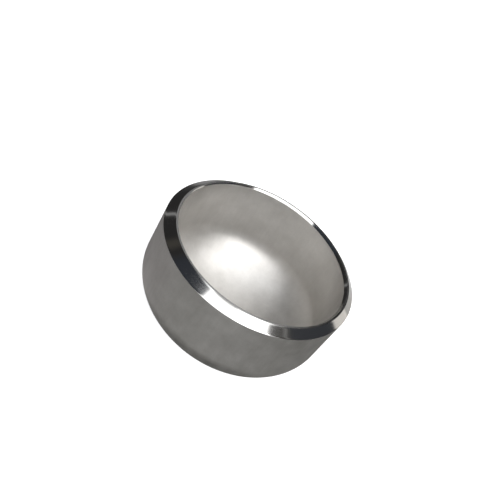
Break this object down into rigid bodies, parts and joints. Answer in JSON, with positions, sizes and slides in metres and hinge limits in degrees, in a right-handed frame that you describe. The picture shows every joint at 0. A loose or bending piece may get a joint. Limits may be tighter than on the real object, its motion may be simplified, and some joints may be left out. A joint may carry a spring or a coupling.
{
  "type": "pipe cap",
  "caption": "Round butt-weld pipe cap: a pressed stainless dome with a short straight skirt and a bevelled open end that welds onto a pipe.",
  "frame": {"origin": "the crown's outer apex, on the axis at the lowest point", "axes": "+Z along the axis of revolution, out of the open weld end; X and Y are any two directions across the round cap"},
  "size_m": [0.0888, 0.0888, 0.051],
  "materials": {
    "stainless_steel": "matte blasted stainless steel inside and outside, with a bright turned weld bevel, root face and inside taper"
  },
  "bodies": {
    "root": {"cap_body": "stainless_steel"}
  },
  "joints": []
}
